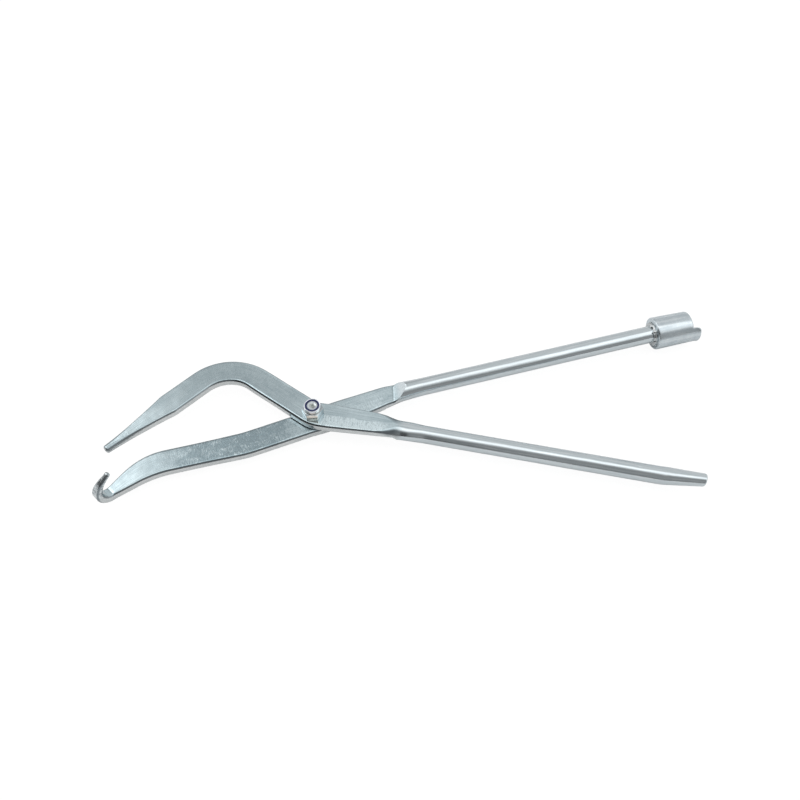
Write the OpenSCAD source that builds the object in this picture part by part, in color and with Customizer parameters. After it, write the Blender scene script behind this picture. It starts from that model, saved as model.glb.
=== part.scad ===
// Brake spring pliers. Two crossing levers are forged from round bar and turn on a bolt with a lock nut. The hook
// lever ends in an upturned hook and carries a spring removal socket, the pin lever ends in a blunt round pin and
// has a tapered installing tip on its handle.
// Millimetres, +Z up. The origin is the centre of the bolt head's resting face, on the pivot axis. The jaws point
// to -X, the handles to +X, and the jaws open and close in planes parallel to XY.

/* [Levers] */
// Diameter of the round bar that both levers are forged from
rod_d = 9.5; // [8:0.1:11]
// Thickness of the forged flats
flat_t = 4.75; // [4:0.05:5.5]
// Width of the jaw flats
jaw_w = 14.1; // [12:0.1:15.5]
// Rounding of the long edges of the flats
edge_r = 0.9; // [0.4:0.1:1.2]
// Running gap between the two flats at the pivot
lap_gap = 0.05; // [0.02:0.01:0.1]
// Length of the ramp from a flat up to the full round bar
ramp_len = 6.5; // [5:0.5:10]

/* [Hook lever] */
// Distance from the pivot axis to the centre line of the hook lever
hook_offset = 1.5; // [0:0.1:2]
// Direction of the hook lever's flat at the pivot, counted from the X axis
hook_angle = 22; // [15:0.5:30]
// Width of the hook lever's flat beside the pivot
hook_boss_w = 15; // [13.5:0.1:17]
// Straight flat from the pivot to the first jaw bend
hook_run_1 = 34.5; // [25:0.5:45]
// First jaw bend of the hook lever, turning away from the other jaw
hook_bend_1 = 7.4; // [2:0.2:14]
// Straight flat between the two jaw bends
hook_run_2 = 36.5; // [28:0.5:45]
// Second jaw bend of the hook lever, turning outward again
hook_bend_2 = 29.4; // [20:0.2:36]
// Centre line radius of the second jaw bend
hook_bend_2_r = 38; // [28:1:46]
// Straight flat from the second jaw bend to the hook
hook_run_3 = 12.2; // [8:0.1:20]
// Width of the hook lever's flat before it narrows to the hook
hook_end_w = 13.3; // [12:0.1:15.5]
// Width where the jaw turns up into the hook
hook_root_w = 6.2; // [5:0.1:8]
// Turn of the hook's tight bend out of the plane of the levers
hook_up_turn = 101; // [85:1:110]
// Inside radius of the hook's tight bend
hook_up_r = 4; // [3:0.1:6]
// Further turn of the finger back over the jaw
hook_lean_turn = 43; // [20:1:50]
// Inside radius of the finger's lean
hook_lean_r = 10.7; // [8:0.1:16]
// Straight end of the finger
hook_finger_len = 4.8; // [2:0.1:8]
// Width of the finger at its tip
hook_tip_w = 3; // [2:0.1:4]
// Thickness of the finger at its tip
hook_tip_t = 2.5; // [1.8:0.1:3.5]
// Length over which the jaw narrows to the hook
hook_taper_len = 29; // [18:1:40]
// Straight flat from the pivot to the flat's slight bend behind it
hook_back_run_1 = 8.4; // [5:0.1:14]
// Slight bend of the flat behind the pivot
hook_back_bend = 1.4; // [0.5:0.1:6]
// Straight flat from the slight bend to the bend before the handle
hook_back_run_2 = 29; // [16:0.5:32]
// Distance from the pivot at which the flat starts to narrow to the round bar
hook_neck_start = 10; // [0:1:30]
// Distance from the pivot to the start of the ramp
hook_flat_len = 45; // [40:0.5:55]
// Angle between the flat at the pivot and the round handle
hook_handle_bend = 6.3; // [0:0.1:12]
// Handle length from the ramp start to the back of the socket
hook_handle_len = 151.5; // [110:0.5:190]

/* [Pin lever] */
// Distance from the pivot axis to the centre line of the pin lever
pin_offset = 0.3; // [0:0.1:1.5]
// Direction of the pin lever's flat at the pivot, counted clockwise from the X axis
pin_angle = 22.9; // [18:0.1:30]
// Bend of the pin lever at the pivot
pin_pivot_bend = 26.4; // [10:0.2:36]
// Centre line radius of the bend at the pivot
pin_pivot_bend_r = 15; // [12:1:30]
// Width of the pin lever's flat beside the pivot
pin_boss_w = 15; // [13.5:0.1:17]
// Straight flat from the pivot bend to the hump
pin_run_1 = 35.7; // [30:0.1:46]
// Turn of the hump bend
pin_hump_turn = 80.1; // [65:0.1:90]
// Centre line radius of the hump bend
pin_hump_r = 23.4; // [14:0.1:28]
// Width of the pin lever's flat from the hump on
pin_hump_w = 13.4; // [12:0.1:15.5]
// Straight flat from the hump to the end of the pin
pin_run_2 = 61.7; // [50:0.1:75]
// Diameter of the pin at its end
pin_tip_d = 4.5; // [3:0.1:5]
// Length over which the jaw narrows to the pin
pin_taper_len = 40; // [25:1:50]
// Distance from the pivot at which the flat starts to narrow to the round bar
pin_neck_start = 8; // [0:1:30]
// Distance from the pivot to the start of the ramp
pin_flat_len = 43; // [36:0.5:50]
// Bend between the flat and the round handle
pin_handle_bend = 1.9; // [0:0.1:8]
// Handle length from the ramp start to the end of the installing tip
pin_handle_len = 161; // [120:1:200]
// Length of the tapered installing tip
tip_taper_len = 20; // [10:0.5:30]
// Diameter of the installing tip at its end
tip_end_d = 6.9; // [4:0.1:8]
// Length of round bar between the slight bend and the installing tip's taper
tip_straight_len = 2; // [1:0.5:20]
// Upward bend of the installing tip
tip_bend = 7; // [0.5:0.5:12]
// Length of the flattened top at the end of the installing tip
tip_flat_len = 8; // [4:0.5:12]
// Part of the installing tip's radius that its flattened top takes off at the end
tip_flat = 0.45; // [0.05:0.05:0.6]

/* [Pivot] */
// Diameter of the pivot bolt's shank
bolt_d = 6; // [5:0.1:6.5]
// Width across the flats of the bolt head and the nut
hex_af = 10; // [9.5:0.1:12]
// Height of the bolt head
head_h = 4; // [3:0.1:5]
// Height of the lock nut with its collar
nut_h = 7; // [5.4:0.1:8]
// Height of the nut's collar above its hexagon
collar_h = 2.7; // [1.4:0.1:3.2]
// Outer diameter of the nut's collar
collar_d = 8.9; // [8.6:0.1:9.4]
// Wall of the nut's collar
collar_wall = 0.55; // [0.4:0.05:0.7]
// Height of the nylon insert
insert_h = 1.5; // [1.2:0.1:1.8]
// Width of the collar lip that is rolled in over the nylon insert
lip_w = 0.35; // [0.2:0.05:0.5]
// Depth of the bolt end below the top of the nut
bolt_end_drop = 0.25; // [0.1:0.05:1]

/* [Removal socket] */
// Outer diameter of the socket at its back
socket_d = 18.3; // [16:0.1:20]
// Outer diameter of the socket at its rim
socket_rim_d = 17.5; // [15.5:0.1:19]
// Tilt of the welded socket toward the other handle
socket_tilt = 1.5; // [0:0.5:5]
// Length of the socket's barrel
socket_len = 21.4; // [18:0.1:30]
// Bore of the socket, which goes over a brake anchor pin
socket_bore_d = 13; // [11:0.1:13.5]
// Thickness of the socket's closed back, which the handle rod passes into
socket_back_t = 5; // [3:0.1:7]
// Length of the socket's hooking tongue beyond the rim
tongue_len = 4.2; // [3:0.1:8]
// Part of the rim that the tongue takes, in degrees
tongue_arc = 86; // [50:1:120]
// Outward flare of the tongue's end
tongue_flare = 0.5; // [0.3:0.1:1.5]
// Rounding of the socket's outer edges
socket_edge_r = 1; // [0.5:0.1:1.8]
// Size of the weld bead between the handle rod and the socket
weld_size = 1.9; // [1.2:0.1:2.6]
// Number of lumps in the weld bead
weld_lumps = 11; // [7:1:14]

/* [Fits] */
// Radial running clearance of a lever on the pivot bolt
pivot_fit = 0.06; // [0.02:0.01:0.1]
// Radial clearance where one fixed piece seats in or on another
seat_fit = 0.03; // [0.01:0.01:0.08]
// Gap between the lock nut and the pin lever
nut_gap = 0.05; // [0.02:0.01:0.1]

/* [Hidden] */
$fn = 64;

rod_r = rod_d / 2;
lap_z = head_h + flat_t;
pin_z = lap_z + lap_gap;
nut_z = pin_z + flat_t + nut_gap;
nut_top_z = nut_z + nut_h;

zinc = [0.72, 0.76, 0.79];
zinc_bright = [0.80, 0.84, 0.87];
zinc_yellow = [0.70, 0.69, 0.66];
nylon_blue = [0.10, 0.14, 0.38];

// Spacing of the sections along a flat, and how far a forged end reaches into its rod
section_step = 2.6;
rod_overlap = 3;
// The forged sections end just under the round bar's surface, so that they join inside it
core_inset = 0.05;
core_r = rod_r - core_inset;
tip_sides = 32;
// Length over which a flat changes from one width to the next, beside the pivot, at the hump and along the jaw
boss_blend = 10;
hump_blend = 18;
jaw_blend = 30;
// Length before the ramp over which the flat's lower corners start to round
round_lead = 7;
// Length behind the ramp over which the bar is still a little wider than it is high
spread_len = 10;
neck_len = ramp_len + spread_len;
// Centre line radius of the slight bends, which hardly show
slight_bend_r = 60;
handle_bend_r = 30;
// Rounding of the small ends of the hook and the pin
small_end_r = 1.1;
// Points in the rounded corner, the side wall and the top edge of half a section
corner_n = 4;
wall_n = 4;
top_n = 3;

function mix(a, b, t) = a + (b - a) * t;
function clamp(t) = min(1, max(0, t));
function smooth(t) = let (c = clamp(t)) c * c * (3 - 2 * c);
function arc_len(turn, r) = abs(turn) * PI / 180 * r;
function left_of(h) = [-sin(h), cos(h)];
function heading(h) = [cos(h), sin(h)];

// Place and heading at distance s along a bent bar. Each run is [straight length, turn, bend radius], and the bar
// goes on straight after its last bend.
function pose(runs, s, p, h, i = 0) =
    i == len(runs) ? [p + s * heading(h), h] :
    let (
        run = runs[i],
        bend = arc_len(run[1], run[2]),
        q = p + run[0] * heading(h),
        centre = q + sign(run[1]) * run[2] * left_of(h)
    )
    s <= run[0] ? [p + s * heading(h), h] :
    s < run[0] + bend ?
        let (g = h + run[1] * (s - run[0]) / bend) [centre - sign(run[1]) * run[2] * left_of(g), g] :
    pose(runs, s - run[0] - bend, centre - sign(run[1]) * run[2] * left_of(h + run[1]), h + run[1], i + 1);

function runs_len(runs, i = 0) =
    i == len(runs) ? 0 : runs[i][0] + arc_len(runs[i][1], runs[i][2]) + runs_len(runs, i + 1);

// Half width of a section at wall distance v: straight below z = 0, near the bar's circle above it.
function wall_point(a, v) =
    v <= 0 ? [a, v] :
    let (f = v / core_r * 180 / PI) [core_r * cos(f) + (a - core_r) * (1 - sin(f)), core_r * sin(f)];

// Right half of a section, from the middle of its outer face to the middle of its inner face. It has half width a,
// reaches down to -depth with corner radius rb, and is cut off flat at height top with edge radius re.
function half_section(a, depth, rb, top, re) =
    let (
        r = min(rb, a - 0.05),
        high = top - re,
        over = -depth + r - high + 0.25,
        last = over > 0 ? -asin(clamp(over / r)) : 0,
        low = -depth + r + r * sin(last),
        v_high = high <= 0 ? high : core_r * asin(min(1, high / core_r)) * PI / 180,
        a_low = a - r + r * cos(last),
        corner = [for (k = [0:corner_n]) let (t = mix(-90, last, k / corner_n))
            [a - r + r * cos(t), -depth + r + r * sin(t)]],
        wall = [for (k = [1:wall_n]) let (w = wall_point(a, mix(low, v_high, k / wall_n)))
            [w.x - (a - a_low) * (1 - k / wall_n), w.y]],
        edge = wall[wall_n - 1],
        rx = min(re, edge.x - 0.05),
        rim = [for (k = [1:top_n]) let (t = 90 * k / top_n)
            [edge.x - rx * (1 - cos(t)), edge.y + re * sin(t)]]
    )
    concat(corner, wall, rim);

function section(a, depth, rb, top, re, shift = 0) =
    let (half = half_section(a, depth, rb, top, re), n = len(half))
    concat([for (q = half) [q.x + shift, q.y]], [for (k = [n - 1:-1:0]) [shift - half[k].x, half[k].y]]);

// Draws a section in together, for a rounded end that lies a share t of its radius before the end.
function drawn_in(sec, t) =
    let (
        f = sqrt(max(0.04, 1 - t * t)),
        n = len(sec),
        mid = [(sec[0].x + sec[n - 1].x) / 2, (sec[0].y + sec[n / 2].y) / 2]
    )
    [for (q = sec) mid + f * (q - mid)];

// Sets a section at point p of the lap plane. Its side axis is left of heading h, and pitch tips it up.
function ring(sec, p, z, h, pitch, flip) =
    [for (q = sec) let (
        side = left_of(h),
        out = heading(h),
        up = q.y * flip
    )
    [p.x + q.x * side.x - up * sin(pitch) * out.x,
     p.y + q.x * side.y - up * sin(pitch) * out.y,
     z + up * cos(pitch)]];

// Closed skin over rings of equal point counts, turned inside out when the sections are flipped.
module skin(rings, flip) {
    n = len(rings[0]);
    m = len(rings);
    sides = [for (i = [0:m - 2], j = [0:n - 1], half = [0, 1]) let (k = (j + 1) % n)
        half == 0 ? [i * n + j, i * n + k, (i + 1) * n + k] : [i * n + j, (i + 1) * n + k, (i + 1) * n + j]];
    ends = [[for (j = [n - 1:-1:0]) j], [for (j = [0:n - 1]) (m - 1) * n + j]];
    faces = concat(sides, ends);
    polyhedron(
        points = [for (r = rings, q = r) q],
        faces = flip > 0 ? faces : [for (f = faces) [for (j = [len(f) - 1:-1:0]) f[j]]],
        convexity = 8
    );
}

// Sections of the handle side, from the pivot out to just inside the rod.
function handle_section(s, flat_len, neck_start, boss_w) =
    let (
        narrow = pow(clamp((s - neck_start) / (flat_len + neck_len - neck_start)), 1.2),
        wide = smooth(s / boss_blend + 0.6),
        round = smooth((s - flat_len + round_lead) / (ramp_len + round_lead)),
        lift = clamp((s - flat_len) / ramp_len)
    )
    section(
        mix(mix(jaw_w, boss_w, wide) / 2, core_r, narrow),
        mix(flat_t, core_r, round),
        mix(edge_r, core_r, round),
        0.985 * core_r * pow(lift, 1.5),
        mix(edge_r, 0.05, smooth(2 * lift))
    );

function handle_rings(runs, p, h, flat_len, neck_start, boss_w, flip, z) =
    let (length = flat_len + ramp_len)
    [for (s = concat([for (s = [2:section_step:flat_len - 1.5]) s],
                     [for (k = [0:8]) mix(flat_len, length, k / 8)],
                     [for (k = [1:4]) length + spread_len * k / 4], [length + spread_len + rod_overlap]))
        let (q = pose(runs, s, p, h))
        ring(handle_section(s, flat_len, neck_start, boss_w), q[0], z, q[1] + 180, 0, flip)];

// Round handle bar between two distances along a lever's handle
module handle_rod(runs, p, h, from, to, z) {
    q = pose(runs, from, p, h);
    translate([q[0].x, q[0].y, z]) rotate([0, 90, q[1]]) cylinder(r = rod_r, h = to - from);
}

module pivot_hole(z, h) {
    translate([0, 0, z - 1]) cylinder(r = bolt_d / 2 + pivot_fit, h = h + 2);
}

// Hook lever: its flats lie under the lap plane
hook_base = hook_offset * [sin(hook_angle), -cos(hook_angle)];
hook_jaw_runs = [[hook_run_1, -hook_bend_1, slight_bend_r], [hook_run_2, hook_bend_2, hook_bend_2_r]];
hook_jaw_len = runs_len(hook_jaw_runs) + hook_run_3;
hook_rise_runs = [[0, hook_up_turn, hook_up_r], [0, hook_lean_turn, hook_lean_r]];
hook_rise_len = runs_len(hook_rise_runs) + hook_finger_len;
hook_handle_runs = [[hook_back_run_1, hook_back_bend, slight_bend_r],
    [hook_back_run_2, -hook_back_bend - hook_handle_bend, handle_bend_r]];

function hook_jaw_section(s) =
    let (full_w = mix(jaw_w, hook_end_w, smooth((s - hook_run_1) / jaw_blend)),
        from_hook = clamp((hook_jaw_len - s) / hook_taper_len))
    section(mix(hook_root_w, full_w, sin(90 * from_hook)) / 2, flat_t, edge_r, 0, edge_r);

function hook_finger_section(s) =
    let (
        t = s / hook_rise_len,
        w = mix(hook_root_w, hook_tip_w, smooth((t - 0.18) / 0.75)),
        thick = mix(flat_t, hook_tip_t, clamp(t / 0.85)),
        r = mix(edge_r, 0.42 * hook_tip_t, clamp(t / 0.6)),
        plain = section(w / 2, flat_t, r, thick - flat_t, r, (hook_root_w - w) / 2),
        to_end = hook_rise_len - s
    )
    to_end < small_end_r ? drawn_in(plain, 1 - to_end / small_end_r) : plain;

function hook_finger_ring(s) =
    let (
        root = pose(hook_jaw_runs, hook_jaw_len, hook_base, hook_angle + 180),
        rise = pose(hook_rise_runs, s, [0, 0], 0)
    )
    ring(hook_finger_section(s), root[0] + rise[0].x * heading(root[1]), lap_z + rise[0].y, root[1], rise[1], 1);

module hook_lever() {
    finger = [for (k = [0:3]) hook_rise_len - small_end_r * (1 - cos(30 * k))];
    rise = [for (k = [1:17]) (hook_rise_len - small_end_r) * (1 - k / 18)];
    jaw = [for (k = [0:floor(hook_jaw_len / section_step)]) hook_jaw_len * (1 - k * section_step / hook_jaw_len)];
    color(zinc) difference() {
        union() {
            skin(concat(
                [for (s = finger) hook_finger_ring(s)],
                [for (s = rise) hook_finger_ring(s)],
                [for (s = jaw) let (q = pose(hook_jaw_runs, s, hook_base, hook_angle + 180))
                    ring(hook_jaw_section(s), q[0], lap_z, q[1], 0, 1)],
                handle_rings(hook_handle_runs, hook_base, hook_angle, hook_flat_len, hook_neck_start,
                    hook_boss_w, 1, lap_z)
            ), 1);
            handle_rod(hook_handle_runs, hook_base, hook_angle, hook_flat_len + neck_len + 0.3 * rod_overlap,
                hook_flat_len + hook_handle_len + 0.88 * socket_back_t, lap_z);
        }
        pivot_hole(head_h, flat_t);
    }
}

// Pin lever: its flats lie on the lap plane, so its sections are the hook lever's turned over
pin_base = pin_offset * [-sin(pin_angle), cos(pin_angle)];
pin_jaw_runs = [[0, -pin_pivot_bend / 2, pin_pivot_bend_r], [pin_run_1, pin_hump_turn, pin_hump_r]];
pin_jaw_len = runs_len(pin_jaw_runs) + pin_run_2;
pin_handle_runs = [[0, pin_pivot_bend / 2, pin_pivot_bend_r],
    [pin_flat_len, -pin_handle_bend, handle_bend_r]];
pin_end = pin_flat_len + pin_handle_len;
tip_start = pin_end - tip_taper_len - tip_straight_len;

function pin_jaw_section(s) =
    let (
        from_tip = pin_jaw_len - s,
        taper = clamp(from_tip / pin_taper_len),
        soft = smooth(1.6 * taper),
        full_w = mix(jaw_w, pin_hump_w, smooth((s - pin_run_1) / hump_blend + 0.2)),
        plain = section(
            mix(pin_tip_d, full_w, pow(taper, 1.7)) / 2,
            flat_t,
            mix(0.49 * pin_tip_d, edge_r, soft),
            mix(pin_tip_d - flat_t, 0, smooth(3 * taper)),
            mix(0.49 * pin_tip_d, edge_r, soft)
        )
    )
    from_tip < small_end_r ? drawn_in(plain, 1 - from_tip / small_end_r) : plain;

// Round section of the installing tip, r mm thick through its half and along mm past its bend
function tip_ring(r, along) =
    let (
        bent = max(0, along),
        q = pose(pin_handle_runs, tip_start + min(0, along) + bent * cos(tip_bend), pin_base, -pin_angle),
        pitch = along < 0 ? 0 : along == 0 ? -tip_bend / 2 : -tip_bend,
        length = tip_straight_len + tip_taper_len,
        top = 1 - tip_flat * smooth((along - length + tip_flat_len) / tip_flat_len),
        sec = [for (k = [0:tip_sides - 1]) let (t = 360 * k / tip_sides) r * [cos(t), min(sin(t), top)]]
    )
    ring(sec, q[0], pin_z + bent * sin(tip_bend), q[1] + 180, pitch, 1);

// Tapered installing tip, bent up slightly from the end of the rod and started just inside it
module installing_tip() {
    length = tip_straight_len + tip_taper_len;
    end_r = small_end_r;
    skin(concat(
        [tip_ring(core_r, -rod_overlap), tip_ring(core_r, 0)],
        [for (k = [0:9]) tip_ring(mix(core_r, tip_end_d / 2, k / 9),
            tip_straight_len + (tip_taper_len - end_r) * k / 9)],
        [for (k = [1:4]) tip_ring(tip_end_d / 2 - end_r * (1 - cos(20 * k)), length - end_r + end_r * sin(20 * k))]
    ), 1);
}

module pin_lever() {
    tip = [for (k = [0:3]) pin_jaw_len - small_end_r * (1 - cos(30 * k))];
    jaw = [for (k = [1:floor(pin_jaw_len / section_step)])
        (pin_jaw_len - small_end_r) * (1 - (k - 0.5) * section_step / pin_jaw_len)];
    color(zinc_bright) difference() {
        union() {
            skin(concat(
                [for (s = concat(tip, jaw))
                    let (q = pose(pin_jaw_runs, s, pin_base, 180 - pin_angle))
                    ring(pin_jaw_section(s), q[0], pin_z, q[1], 0, -1)],
                handle_rings(pin_handle_runs, pin_base, -pin_angle, pin_flat_len, pin_neck_start,
                    pin_boss_w, -1, pin_z)
            ), -1);
            handle_rod(pin_handle_runs, pin_base, -pin_angle, pin_flat_len + neck_len + 0.3 * rod_overlap,
                tip_start - 0.2 * rod_overlap, pin_z);
            installing_tip();
        }
        pivot_hole(pin_z, flat_t);
    }
}

// Hexagon with both rims turned down, drawn upward from z = 0
module hex_bar(af, h, low_chamfer, high_chamfer) {
    corner = af / sqrt(3);
    cut = corner - af / 2;
    rise = cut * tan(30);
    intersection() {
        cylinder(r = corner, h = h, $fn = 6);
        rotate_extrude() polygon([
            [0, 0],
            [low_chamfer ? af / 2 : corner + 1, 0],
            [corner + (low_chamfer ? 0 : 1), low_chamfer ? rise : 0],
            [corner + (high_chamfer ? 0 : 1), high_chamfer ? h - rise : h],
            [high_chamfer ? af / 2 : corner + 1, h],
            [0, h]
        ]);
    }
}

module pivot_bolt() {
    top = nut_top_z - bolt_end_drop;
    color(zinc_yellow) difference() {
        union() {
            hex_bar(hex_af, head_h, true, false);
            translate([0, 0, head_h - 0.5]) cylinder(d = bolt_d, h = top - head_h + 0.5 - 0.6);
            translate([0, 0, top - 0.6]) cylinder(d1 = bolt_d, d2 = bolt_d - 1.2, h = 0.6);
        }
        translate([0, 0, top - 0.5]) cylinder(d1 = 0.2, d2 = 1.4, h = 0.51);
    }
}

module lock_nut() {
    hex_h = nut_h - collar_h;
    seat_z = nut_h - insert_h - 0.25;
    color(zinc_bright) translate([0, 0, nut_z]) difference() {
        union() {
            hex_bar(hex_af, hex_h, true, true);
            translate([0, 0, hex_h - 0.4]) cylinder(d = collar_d, h = 0.4 + collar_h - 0.8);
            translate([0, 0, nut_h]) mirror([0, 0, 1]) rotate_extrude() polygon(concat(
                [[0, 0]],
                [for (k = [0:6]) [collar_d / 2 - 0.8 * (1 - sin(15 * k)), 0.8 * (1 - cos(15 * k))]],
                [[collar_d / 2, 1], [0, 1]]
            ));
        }
        translate([0, 0, -1]) cylinder(r = bolt_d / 2 + seat_fit, h = nut_h + 2);
        translate([0, 0, seat_z]) cylinder(d = collar_d - 2 * collar_wall, h = insert_h);
        translate([0, 0, seat_z]) cylinder(d = collar_d - 2 * collar_wall - 2 * lip_w, h = insert_h + 1);
    }
}

module nylon_insert() {
    seat_z = nut_h - insert_h - 0.25;
    outer = collar_d / 2 - collar_wall - seat_fit;
    inner = bolt_d / 2 + seat_fit;
    crown = outer - lip_w - seat_fit;
    color(nylon_blue) translate([0, 0, nut_z + seat_z]) rotate_extrude() polygon([
        [inner, seat_fit], [outer, seat_fit], [outer, insert_h - seat_fit], [crown, insert_h - seat_fit],
        [crown - 0.15, insert_h + 0.1], [inner + 0.25, insert_h + 0.1], [inner, insert_h - 0.2]
    ]);
}

// Places its children at the back of the socket, with +Z along the handle rod and +X to the tongue
module at_rod_end(tilt) {
    q = pose(hook_handle_runs, hook_flat_len + hook_handle_len, hook_base, hook_angle);
    translate([q[0].x, q[0].y, lap_z]) rotate([0, 0, q[1] - tilt]) rotate([90, 0, 90]) rotate([0, 0, 180]) children();
}

// Barrel profile with rounded outer edges
module barrel_profile(back, rim, h, r) {
    polygon(concat(
        [[0, 0]],
        [for (k = [0:6]) [back - r + r * sin(15 * k), r - r * cos(15 * k)]],
        [for (k = [0:6]) [rim - r + r * cos(15 * k), h - r + r * sin(15 * k)]],
        [[0, h]]
    ));
}

module removal_socket() {
    rim = socket_rim_d / 2;
    bore = socket_bore_d / 2;
    lip_r = 0.45 * (rim - bore);
    low = socket_len - socket_edge_r - 1;
    color(zinc_bright) difference() {
        at_rod_end(socket_tilt) difference() {
            union() {
                rotate_extrude() barrel_profile(socket_d / 2, rim, socket_len, socket_edge_r);
                intersection() {
                    rotate_extrude() polygon(concat(
                        [[bore - 0.5, low], [rim, low], [rim, socket_len + 0.35 * tongue_len]],
                        [for (k = [0:4]) [rim + tongue_flare * (1 - cos(22.5 * k)),
                            socket_len + mix(0.45, 0.82, k / 4) * tongue_len]],
                        [for (k = [1:6]) [rim + tongue_flare - lip_r + lip_r * cos(15 * k),
                            socket_len + (0.82 + 0.18 * sin(15 * k)) * tongue_len]],
                        [[bore + 0.3, socket_len + tongue_len], [bore, socket_len + tongue_len - 0.4],
                         [bore - 0.5, socket_len + tongue_len - 0.4]]
                    ));
                    tongue_sector(rim + tongue_flare);
                }
            }
            translate([0, 0, socket_back_t]) cylinder(r = bore, h = socket_len + tongue_len);
        }
        at_rod_end(0) translate([0, 0, -3]) cylinder(r = rod_r + seat_fit, h = socket_back_t + 6);
    }
}

// Sector that holds the tongue, with its outer corners rounded off
module tongue_sector(outer) {
    half_w = outer * sin(tongue_arc / 2);
    reach = outer + 2;
    corner_r = 2;
    top = socket_len + tongue_len + 0.01;
    intersection() {
        linear_extrude(top + 1) polygon([[0, 0], reach * 1.5 * heading(-tongue_arc / 2), [reach * 2, 0],
            reach * 1.5 * heading(tongue_arc / 2)]);
        translate([0, 0, top]) rotate([0, 90, 0]) linear_extrude(reach + 1) union() {
            translate([corner_r, -half_w]) square([top, 2 * half_w]);
            translate([0, corner_r - half_w]) square([top, 2 * (half_w - corner_r)]);
            for (side = [-1, 1]) translate([corner_r, side * (half_w - corner_r)]) circle(r = corner_r);
        }
    }
}

module socket_weld() {
    ring_r = rod_r + 0.5 * weld_size;
    color(zinc) difference() {
        at_rod_end(0) union() {
            rotate_extrude() polygon([[rod_r - 0.2, 1], [rod_r + weld_size, 1], [rod_r + weld_size, 0],
                [rod_r + 0.85 * weld_size, -0.35 * weld_size], [rod_r + 0.35 * weld_size, -0.85 * weld_size],
                [rod_r - 0.2, -weld_size]]);
            for (k = [0:weld_lumps - 1]) rotate([0, 0, k * 360 / weld_lumps])
                translate([ring_r, 0, -0.2 * weld_size]) sphere(r = 0.62 * weld_size, $fn = 24);
        }
        at_rod_end(socket_tilt) translate([0, 0, -seat_fit]) cylinder(d = 2 * socket_d, h = 3 * weld_size);
        at_rod_end(0) translate([0, 0, -3 * weld_size]) cylinder(r = rod_r + seat_fit, h = 6 * weld_size);
    }
}

hook_lever();
pin_lever();
pivot_bolt();
lock_nut();
nylon_insert();
removal_socket();
socket_weld();
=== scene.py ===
import math

import bmesh
import bpy
import numpy as np
from mathutils import Matrix, Vector, noise


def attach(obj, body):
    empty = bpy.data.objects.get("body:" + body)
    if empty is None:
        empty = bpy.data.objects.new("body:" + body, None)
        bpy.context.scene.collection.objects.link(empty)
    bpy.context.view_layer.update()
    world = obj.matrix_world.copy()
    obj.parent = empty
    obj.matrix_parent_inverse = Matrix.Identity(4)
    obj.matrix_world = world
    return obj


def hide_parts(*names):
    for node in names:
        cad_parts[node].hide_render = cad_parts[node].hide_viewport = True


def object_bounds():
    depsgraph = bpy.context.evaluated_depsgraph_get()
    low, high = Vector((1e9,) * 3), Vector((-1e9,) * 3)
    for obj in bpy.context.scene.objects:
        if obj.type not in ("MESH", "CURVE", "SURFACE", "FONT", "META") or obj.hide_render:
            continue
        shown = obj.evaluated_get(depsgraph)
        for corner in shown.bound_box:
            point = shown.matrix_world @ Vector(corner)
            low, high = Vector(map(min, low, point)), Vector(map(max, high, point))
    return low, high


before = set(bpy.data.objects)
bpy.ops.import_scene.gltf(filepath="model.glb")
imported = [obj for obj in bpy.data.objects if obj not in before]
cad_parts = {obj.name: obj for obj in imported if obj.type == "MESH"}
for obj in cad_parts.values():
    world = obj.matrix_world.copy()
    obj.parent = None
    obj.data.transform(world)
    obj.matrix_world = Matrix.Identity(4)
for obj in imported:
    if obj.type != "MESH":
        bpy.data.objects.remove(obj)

# Brake spring pliers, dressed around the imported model. The shapes below are worked out in millimetres, from
# the same named sizes as the model's source, and turned into metres when their meshes are made.

CAD_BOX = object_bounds()
MM = 0.001

# Both levers
ROD_R = 4.75
FLAT_T = 4.75
JAW_W = 14.1
BOSS_W = 15
BOSS_HALF = 5
EDGE_R = 0.9
LAP_Z = 8.75
PIN_Z = 8.80
BORE_R = 3.06
SMALL_END_R = 1.1
# Heights between which the pivot's hole is cut through the hook lever and the pin lever
HOOK_CUT = (2, 11)
PIN_CUT = (7, 16)

# Ramps from flat to round bar. A ramp rises by a power, and its end is eased between two shares of the rise.
RAMP_LEN = 6.5
RAMP_POWER = 1.4
RAMP_EDGE_R = 0.12
EASE_FROM = 0.7
EASE_TO = 1.3
EASE_LEN = 1.5
# The bar narrows on past the ramp, and its lower edges turn round before it
SPREAD_LEN = 10
ROUNDING_LEN = 7
NARROWING_POWER = 1.2
# The fold of the hook lever's ramp runs askew, which fades out to both sides
RAMP_SKEW = 0.25
SKEW_REACH = 14
SKEW_FADE = 10
# The pin lever's lower edges swell beside its ramp
SWELL_BEFORE = 6
SWELL_AFTER = 10
SWELL_FADE = 8

# Small edges are blunted by wear like a chamfer: the power of their curve, and the radii at which they turn
# round
BLUNT_POWER = 1.55
BLUNT_R = 0.95
BLUNT_RANGE = 1.2
# Least width that is left between a section's edges
SLIVER = 0.02

# Hollows of the forgings
FORGE_DEPTH = 0.045
FORGE_WAVE = 9.0
FORGE_KEEP_OUT = 9.0
FORGE_FADE = 8

# Pivot
HEX_AF = 10
HEAD_H = 4
NUT_Z = 13.6
NUT_H = 7
COLLAR_H = 2.7
COLLAR_R = 4.45
COLLAR_WALL = 0.55
INSERT_H = 1.5
INSERT_DROP = 0.25
LIP_W = 0.12
BOLT_R = 3
BOLT_TOP = 20.35
THREAD_DEPTH = 0.3
HEX_BEVEL = 0.03
# Gaps round the insert and the handle rod's end, and inside the nut and the weld
PLAY = 0.03
BORE_PLAY = 0.04

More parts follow.
